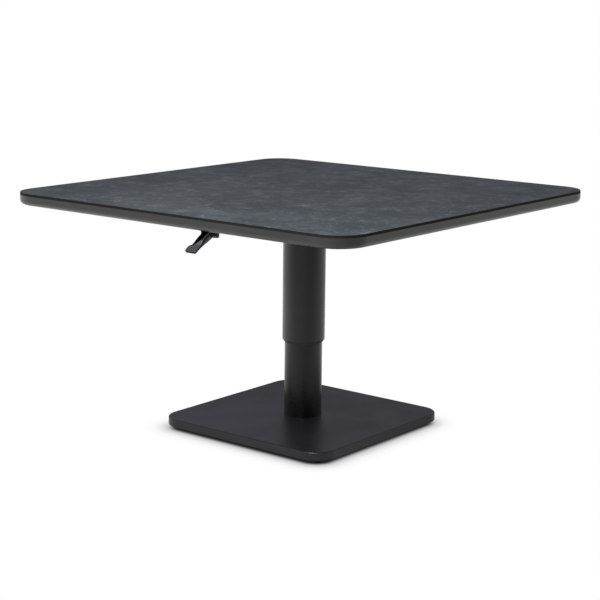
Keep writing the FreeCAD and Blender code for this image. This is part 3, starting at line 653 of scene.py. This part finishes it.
# a smooth line through (at, value) points
def lineAt(points, at):
    last = len(points) - 1
    index = max([i for i in range(last) if points[i][0] <= at] or [0])
    (x0, y0), (x1, y1) = points[index], points[index + 1]
    slopes = []
    for i in (index, index + 1):
        (xa, ya), (xb, yb) = points[max(i - 1, 0)], points[min(i + 1, last)]
        slopes.append((yb - ya) / (xb - xa))
    span = x1 - x0
    t = clamped((at - x0) / span)
    return ((1.0 + 2.0 * t) * (1.0 - t) ** 2 * y0 + t * (1.0 - t) ** 2 * span * slopes[0]
            + t * t * (3.0 - 2.0 * t) * y1 + t * t * (t - 1.0) * span * slopes[1])


# Screws and bolts; places are (x, y), and the height comes from the piece that each set replaces

panelHead = 0.0045
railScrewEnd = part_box("panel_screws")[1].y - panelHead

fasteners = {
    "panelScrews": {
        "node": "panel_screws", "body": "top",
        "head": panelHead, "height": 0.0030, "shank": 0.0022, "recess": 0.0026, "deep": 0.0016,
        "places": cornersAt(0.0875, railScrewEnd) + cornersAt(0.0875, 0.200)
                  + [(side * x, 0.0) for x in (0.180, 0.310, 0.440) for side in (-1, 1)],
    },
    "plateBolts": {
        "node": "plate_bolts", "body": "top", "width": 0.0096, "height": 0.0036, "shank": 0.003,
        "places": cornersAt(0.0755, 0.085),
    },
    "flangeBolts": {
        "node": "flange_bolts", "body": "top", "width": 0.0128, "height": 0.0048, "shank": 0.004,
        "places": cornersAt(0.0495, 0.0495),
    },
    "columnBolts": {
        "node": "column_bolts", "body": "base", "width": 0.0128, "height": 0.0048, "shank": 0.004,
        "places": cornersAt(0.04596, 0.04596),
    },
    "bracketScrews": {
        "node": "bracket_screws", "body": "top",
        "head": 0.00425, "height": 0.0025, "shank": 0.0025, "recess": 0.0024, "deep": 0.0014,
        "places": [(x, y) for x in (0.064, 0.087) for y in (-0.4475, -0.4135)],
    },
    "headScrews": {
        "node": "head_screws", "body": "top", "facesUp": True,
        "head": 0.0032, "height": 0.0024, "shank": 0.0020, "recess": 0.0019, "deep": 0.0013,
        "places": cornersAt(0.0195, 0.014),
    },
    "clipScrew": {
        "node": "cable_clip_screw", "body": "top",
        "head": 0.0032, "height": 0.0020, "shank": 0.0020, "recess": 0.0019, "deep": 0.0011,
        "places": [(0.0665, -0.361)],
    },
}


# shares of the shank's radius for the tip, and of the head's radius and height for the rings
panHead = {
    "tip": (0.5, 0.8),
    "crown": ((1.0, 0.0), (1.0, 0.35), (0.93, 0.7), (0.78, 0.92)),
    "segments": 24,
    "recessArms": ((12.0, 0.94), (25.0, 0.60), (90.0, 0.42)),  # up to so many degrees from an arm, so far out
    "recessTaper": 0.7,
}

hexHead = {
    "tip": (0.8, 0.3),
    "flange": ((0.99, 0.0), (0.99, 0.10), (0.86, 0.22)),
    "hexagon": ((0.97, 0.16), (1.0, 0.2), (1.0, 0.86), (0.90, 1.0), (0.70, 1.0), (0.62, 0.86)),
    "segments": 36,
}


def shankRings(shank, length, tip):
    return [(shank * tip[0], -length), (shank, shank * tip[1] - length), (shank, 0.0)]


def headRings(shares, radius, height):
    return [(radius * wide, height * high) for wide, high in shares]


# a pan head with a cross recess
def crossScrew(form, size, place, length, turn):
    rings = shankRings(size["shank"], length, panHead["tip"])
    rings += headRings(panHead["crown"], size["head"], size["height"])
    cap, every = turnedForm(form, rings + [(size["recess"], size["height"])], panHead["segments"])
    verts, cap = growCap(form, cap)
    for vert in verts:
        arm = abs(((math.degrees(math.atan2(vert.co.y, vert.co.x)) + 45.0) % 90.0) - 45.0)
        shrink = [share for limit, share in panHead["recessArms"] if arm < limit][0]
        vert.co.x *= shrink
        vert.co.y *= shrink
    every += verts
    verts, cap = growCap(form, cap)
    bmesh.ops.translate(form, verts=verts, vec=(0.0, 0.0, -size["deep"]))
    bmesh.ops.scale(form, vec=(panHead["recessTaper"], panHead["recessTaper"], 1.0), verts=verts)
    every += verts
    settle(form, every, place, turn)


# a hexagon head with a pressed flange and a shallow dish on top
def hexBolt(form, size, place, length, turn):
    reach = size["width"] / math.sqrt(3.0)
    flange = shankRings(size["shank"], length, hexHead["tip"])
    flange += headRings(hexHead["flange"], reach, size["height"])
    hexagon = headRings(hexHead["hexagon"], reach, size["height"])
    for rings, sides in ((flange, hexHead["segments"]), (hexagon, 6)):
        settle(form, turnedForm(form, rings, sides)[1], place, turn)


def makeFasteners(material):
    print("screws and bolts")
    for name, size in fasteners.items():
        low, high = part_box(size["node"])
        facesUp = size.get("facesUp", False)
        seat = high.z - size["height"] if facesUp else low.z + size["height"]
        length = seat - low.z if facesUp else high.z - seat
        turn = Matrix.Identity(4) if facesUp else Matrix.Rotation(math.pi, 4, "X")
        makeOne = crossScrew if "recess" in size else hexBolt
        form = bmesh.new()
        for x, y in size["places"]:
            makeOne(form, size, (x, y, seat), length, turn)
        pieceFrom(form, name, material, size["body"], "zinc_steel", size["node"])


# Welds, in small ripples, painted over

weld = {
    "segments": 10,
    "bead": 0.0019,
    "waist": 0.84,  # a bead between two ripples, and at its ends, as a share of its radius
    "end": 0.4,
    "ripple": 0.0014,
    "endGap": 0.001,
    "ring": 0.0024,
    "ringOut": 0.0004,
    "ringRipples": 60,
    "ringRipple": 0.1,
    "ringSteps": 240,
}


def beadAlong(form, start, end):
    span = Vector(end) - Vector(start)
    count = int(span.length / weld["ripple"])
    rings = [(weld["bead"] * weld["end"], 0.0)]
    for index in range(1, count):
        rings.append((weld["bead"] * (1.0 if index % 2 else weld["waist"]), index * span.length / count))
    rings.append((weld["bead"] * weld["end"], span.length))
    turn = span.to_track_quat("Z", "Y").to_matrix().to_4x4()
    settle(form, turnedForm(form, rings, weld["segments"])[1], start, turn)


def beadRing(form, radius, height):
    made = bmesh.ops.create_circle(form, segments=weld["segments"], radius=weld["ring"])
    verts = list(made["verts"])
    stand = Matrix.Translation((radius, 0.0, height)) @ Matrix.Rotation(math.pi / 2.0, 4, "X")
    bmesh.ops.transform(form, matrix=stand, verts=verts)
    edges = list({edge for vert in verts for edge in vert.link_edges})
    bmesh.ops.spin(form, geom=verts + edges, cent=(0.0, 0.0, 0.0), axis=(0.0, 0.0, 1.0),
                   angle=2.0 * math.pi, steps=weld["ringSteps"], use_merge=True)
    ripple = weld["ringRipple"]
    for vert in form.verts:
        angle = math.atan2(vert.co.y, vert.co.x)
        middle = Vector((radius * math.cos(angle), radius * math.sin(angle), height))
        size = 1.0 - ripple + ripple * math.cos(weld["ringRipples"] * angle)
        vert.co = middle + (vert.co - middle) * size


def makeWelds(material):
    print("welds")
    form = bmesh.new()
    inset = weld["bead"] * 0.5
    for name, side in (("outrigger_left", -1), ("outrigger_right", 1)):
        low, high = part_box(name)
        joint = (low.x if side > 0 else high.x) + side * inset
        for y in (low.y - inset, high.y + inset):
            beadAlong(form, (joint, y, low.z + weld["endGap"]), (joint, y, high.z - weld["endGap"]))
    pieceFrom(form, "frameWelds", material, "top", "rail_paint")

    form = bmesh.new()
    out = weld["ringOut"]
    beadRing(form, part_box("upper_tube")[1].x + out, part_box("column_flange")[0].z - out)
    pieceFrom(form, "columnWeld", material, "top", "rail_paint")


# Levelling feet

glide = {
    "rings": ((0.0060, 0.0), (0.0074, 0.0003), (0.0079, 0.0012), (0.0080, 0.0028), (0.0076, 0.0032),
              (0.0076, 0.0038), (0.0080, 0.0042), (0.0080, 0.0078), (0.0070, 0.0086), (0.0066, 0.0115)),
    "neck": 0.00305,
    "neckDeep": 0.0030,
    "segments": 36,
}


def makeGlides(material):
    print("levelling feet")
    for name in corners:
        low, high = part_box("foot_glide_" + name)
        middle = (low + high) / 2.0
        form = bmesh.new()
        cap, every = turnedForm(form, glide["rings"], glide["segments"])
        verts, cap = growCap(form, cap)
        ratio = glide["neck"] / glide["rings"][-1][0]
        bmesh.ops.scale(form, vec=(ratio, ratio, 1.0), verts=verts)
        every += verts
        verts, cap = growCap(form, cap)
        bmesh.ops.translate(form, verts=verts, vec=(0.0, 0.0, -glide["neckDeep"]))
        every += verts
        settle(form, every, (middle.x, middle.y, low.z), Matrix.Identity(4))
        pieceFrom(form, "footGlide" + name.title().replace("_", ""), material,
                  "foot_" + name, "foot_plastic", "foot_glide_" + name)


# Lever pin with its black barrel

leverPin = {
    "along": Matrix.Rotation(math.pi / 2.0, 4, "Y"),
    "shaft": ((0.003, 0.0025), (0.003, 0.0335)),
    "head": ((0.0042, 0.0), (0.0049, 0.0006), (0.0050, 0.0012), (0.0050, 0.0030)),
    "barrel": ((0.0050, 0.0), (0.0050, 0.0016), (0.0046, 0.0020), (0.0046, 0.0026), (0.0050, 0.0030),
               (0.0050, 0.0106), (0.0048, 0.0121), (0.0041, 0.0130), (0.0034, 0.0131), (0.0031, 0.0124)),
    "barrelLength": 0.015,
}


def makeLeverPin(material):
    print("lever pin")
    low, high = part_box("lever_pin")
    y, z = (low.y + high.y) / 2.0, (low.z + high.z) / 2.0
    form = bmesh.new()
    barrelStart = high.x - leverPin["barrelLength"]
    for rings, x, segments in ((leverPin["head"], low.x, 40), (leverPin["shaft"], low.x, 32),
                               (leverPin["barrel"], barrelStart, 40)):
        settle(form, turnedForm(form, rings, segments)[1], (x, y, z), leverPin["along"])
    pieceFrom(form, "leverPin", material, "top", "lever_plastic", "lever_pin")


# Release lever, in its own frame: x across, y from the pivot towards the tip, z out of its top face

lever = {
    "pivot": (0.0755, -0.430, 0.539),
    "slope": 35.0,
    "columns": 40,
    "rows": 72,
    "edgeCrowd": 0.5,  # columns lie closer at the edges, and rows at the tip
    "tipCrowd": 1.6,
    "tip": -0.0683,
    "root": 0.0,
    "top": 0.0088,
    "left": ((-0.0687, 0.0158), (-0.0580, 0.0165), (-0.0505, 0.0158), (-0.0445, 0.0122), (-0.0380, 0.0114),
             (-0.0300, 0.0119), (-0.0200, 0.0122), (-0.0120, 0.0116), (0.0, 0.0114)),
    "right": ((-0.0687, 0.0164), (-0.0500, 0.0164), (-0.0300, 0.0122), (-0.0150, 0.0115), (0.0, 0.0114)),
    "leftCorner": 0.0070,
    "rightCorner": 0.0035,
    "skirt": ((-0.0687, 0.0054), (-0.0520, 0.0050), (-0.0420, 0.0026), (-0.0280, -0.0020),
              (-0.0150, -0.0048), (-0.0060, -0.0060), (0.0, -0.0060)),
    "ridge": ((-0.0510, -0.0110), (-0.0460, -0.0045), (-0.0385, 0.0006), (-0.0280, 0.0044),
              (-0.0140, 0.0074), (0.0, 0.0080)),
    "scoop": 0.0016,
    "scoopEdge": 0.0022,
    "scoopEnd": (-0.0510, -0.0440),
    "dish": 0.0007,
    "dishStart": -0.0440,
    "dishFade": 0.0060,
    "tipFade": 0.004,
    "edgeRound": 0.0011,
    "wall": 0.0018,
    "skin": 0.0020,
    "boss": ((0.0060, -0.0115), (0.0065, -0.0110), (0.0065, 0.0110), (0.0060, 0.0115)),
}


def leverFrame():
    return Matrix.Translation(lever["pivot"]) @ Matrix.Rotation(math.radians(lever["slope"]), 4, "X")


def halfWidth(side, y):
    width = lineAt(lever[side], y)
    corner = lever[side + "Corner"]
    reach = y - lever["tip"]
    if reach < corner:
        width -= corner - math.sqrt(max(0.0, corner * corner - (corner - reach) ** 2))
    return width


def insideOutline(x, y):
    return min(x + halfWidth("left", y), halfWidth("right", y) - x, y - lever["tip"])


def edgeDrop(x, y):
    radius = lever["edgeRound"]
    inside = insideOutline(x, y)
    if inside >= radius:
        return 0.0
    return radius - math.sqrt(max(0.0, radius * radius - (radius - max(inside, 0.0)) ** 2))


def paddleDish(across, y):
    paddle = clamped((lever["dishStart"] - y) / lever["dishFade"])
    return lever["dish"] * paddle * (1.0 - across ** 4) * min(1.0, (y - lever["tip"]) / lever["tipFade"])


# the hollow beside the ridge, which ends before the paddle
def scoopShare(x, y):
    inside = clamped((lineAt(lever["ridge"], y) - x) / lever["scoopEdge"])
    low, high = lever["scoopEnd"]
    return eased(inside) * eased(clamped((y - low) / (high - low)))


leverLook = {
    "grain": (0.036, 0.037, 0.041, 1.0),
    "paintedHighlight": (0.42, 0.43, 0.44, 1.0),  # painted highlight: the textured top turns pale towards the pivot, over the ridge
    # near-black colour of the smooth plastic: painted shade in the scoop, along the edges, down the sides and
    # partly on the foot
    "polishedAndShaded": (0.0015, 0.0015, 0.0018, 1.0),
    "polishedAndShadedPale": (0.004, 0.004, 0.0045, 1.0),
    "footPolishAndShade": 0.3,
    "footHeight": 0.0003,
    "highlightFrom": -0.046,
    "highlightSpan": 0.034,
    "edgeBand": (0.0010, 0.0012),  # width on the arm, and how much wider it gets on the paddle
    "bandFrom": -0.036,
    "bandSpan": 0.012,
    "sideDrop": 0.0018,
    "sideFade": 0.002,
    "patch": (120.0, 3.0),
    "patchShade": 0.3,
    "fine": (1400.0, 2.0),
    "relief": (0.3, 0.0002),
    "roughSpread": (0.3, 0.7, 0.50, 0.60),
    "shine": 0.35,
    "wearAndHighlight": (300.0, 3.0),
    "polishedRough": (0.3, 0.7, 0.30, 0.38),
    "polishedShine": 0.06,
}


# where the plastic is smooth and painted near black as shade, in the scoop, along the edges, down the sides
# and partly on the foot, and where it is painted pale as a highlight towards the pivot
def markLever(piece):
    back = leverFrame().inverted()
    polishAndShade = piece.data.attributes.new("polishAndShade", "FLOAT", "POINT")
    wearAndHighlight = piece.data.attributes.new("wearAndHighlight", "FLOAT", "POINT")
    narrow, wider = leverLook["edgeBand"]
    for index, vert in enumerate(piece.data.vertices):
        x, y, z = back @ vert.co
        band = narrow + wider * clamped((leverLook["bandFrom"] - y) / leverLook["bandSpan"])
        edge = 1.0 - clamped(insideOutline(x, y) / band)
        below = clamped((lever["top"] - leverLook["sideDrop"] - z) / leverLook["sideFade"])
        foot = z < lineAt(lever["skirt"], y) + leverLook["footHeight"]
        # painted shade: near-black smooth plastic in the scoop, along the edges and down the sides, less on
        # the foot
        polishAndShade.data[index].value = leverLook["footPolishAndShade"] if foot else max(edge, below, scoopShare(x, y))
        # painted highlight: this mark turns the textured top pale towards the pivot
        wearAndHighlight.data[index].value = clamped((y - leverLook["highlightFrom"]) / leverLook["highlightSpan"])


def makeLever(material):
    print("release lever")
    form = bmesh.new()
    bmesh.ops.create_grid(form, x_segments=lever["columns"], y_segments=lever["rows"], size=1.0)
    wall, skin, crowd = lever["wall"], lever["skin"], lever["edgeCrowd"]
    inner = bmesh.ops.duplicate(form, geom=form.verts[:] + form.edges[:] + form.faces[:])["geom"]
    inner = {item for item in inner if isinstance(item, bmesh.types.BMVert)}
    for vert in form.verts:
        hidden = vert in inner
        across, down = vert.co.x, (1.0 - vert.co.y) / 2.0
        out = abs(across)
        across = math.copysign((1.0 - crowd) * out + crowd * (1.0 - (1.0 - out) ** 2), across)
        y = lever["tip"] + (lever["root"] - lever["tip"]) * (1.0 - down) ** lever["tipCrowd"]
        side = "left" if across < 0.0 else "right"
        x = across * halfWidth(side, y)
        rise = lever["top"] - lever["scoop"] * scoopShare(x, y) - paddleDish(across, y)
        if hidden:
            inset = wall * (1.0 - (y - lever["tip"]) / -lever["tip"])
            vert.co = (across * (halfWidth(side, y) - wall), y + inset, rise - skin)
        else:
            vert.co = (x, y, rise - edgeDrop(x, y))
    inners = [edge for edge in form.edges if edge.is_boundary and edge.verts[0] in inner]
    outers = [edge for edge in form.edges if edge.is_boundary and edge.verts[0] not in inner]
    feet = []
    for edges in (inners, outers):
        grown = bmesh.ops.extrude_edge_only(form, edges=edges)["geom"]
        for item in grown:
            if isinstance(item, bmesh.types.BMVert):
                item.co.z = lineAt(lever["skirt"], item.co.y)
        feet += [item for item in grown if isinstance(item, bmesh.types.BMEdge) and item.is_boundary]
    bmesh.ops.bridge_loops(form, edges=feet)
    settle(form, turnedForm(form, lever["boss"], 40)[1], (0.0, 0.0, 0.0), leverPin["along"])
    bmesh.ops.transform(form, matrix=leverFrame(), verts=form.verts)
    markLever(pieceFrom(form, "releaseLever", material, "lever", "lever_plastic", "release_lever"))


def leverFinish():
    material, tree, shader = startMaterial("leverPlastic")
    place = objectPlace(tree)
    polishAndShade = addNode(tree, "ShaderNodeAttribute", {"attribute_name": "polishAndShade"}).outputs["Fac"]
    patch = cloud(tree, place, *leverLook["patch"])
    paintedHighlight = addNode(tree, "ShaderNodeAttribute", {"attribute_name": "wearAndHighlight"}).outputs["Fac"]
    # painted highlight: the textured colour turns pale towards the pivot
    grain = blendColours(tree, paintedHighlight, leverLook["grain"], leverLook["paintedHighlight"])
    grain = blendColours(tree, sums(tree, "MULTIPLY", patch, leverLook["patchShade"]), grain, black)
    tree.links.new(grain, shader.inputs["Base Color"])
    tree.links.new(spread(tree, patch, *leverLook["roughSpread"]), shader.inputs["Roughness"])
    shader.inputs["Specular IOR Level"].default_value = leverLook["shine"]
    relief(tree, shader, cloud(tree, place, *leverLook["fine"]), *leverLook["relief"])
    # this smooth, near-black second finish is painted shade in the scoop, along the edges and down the sides
    smooth = secondShader(tree, shader, polishAndShade)
    wearAndHighlight = cloud(tree, place, *leverLook["wearAndHighlight"])
    colour = blendColours(tree, wearAndHighlight, leverLook["polishedAndShaded"], leverLook["polishedAndShadedPale"])
    tree.links.new(colour, smooth.inputs["Base Color"])
    tree.links.new(spread(tree, wearAndHighlight, *leverLook["polishedRough"]), smooth.inputs["Roughness"])
    smooth.inputs["Specular IOR Level"].default_value = leverLook["polishedShine"]
    return material


makeCamera()
makeStudio()
dressTop()
paintsMade = {paintName: dressPaint(paintName)[0] for paintName in paints}
dressCollar()
metals = {finishName: dressFinish(finishName)[0] for finishName in finishes}
for threadName in threads:
    dressThread(threadName)

makeFasteners(metals["zincSteel"])
makeWelds(paintsMade["railPaint"])
makeGlides(metals["blackPlastic"])
makeLeverPin(metals["blackPlastic"])
makeLever(leverFinish())
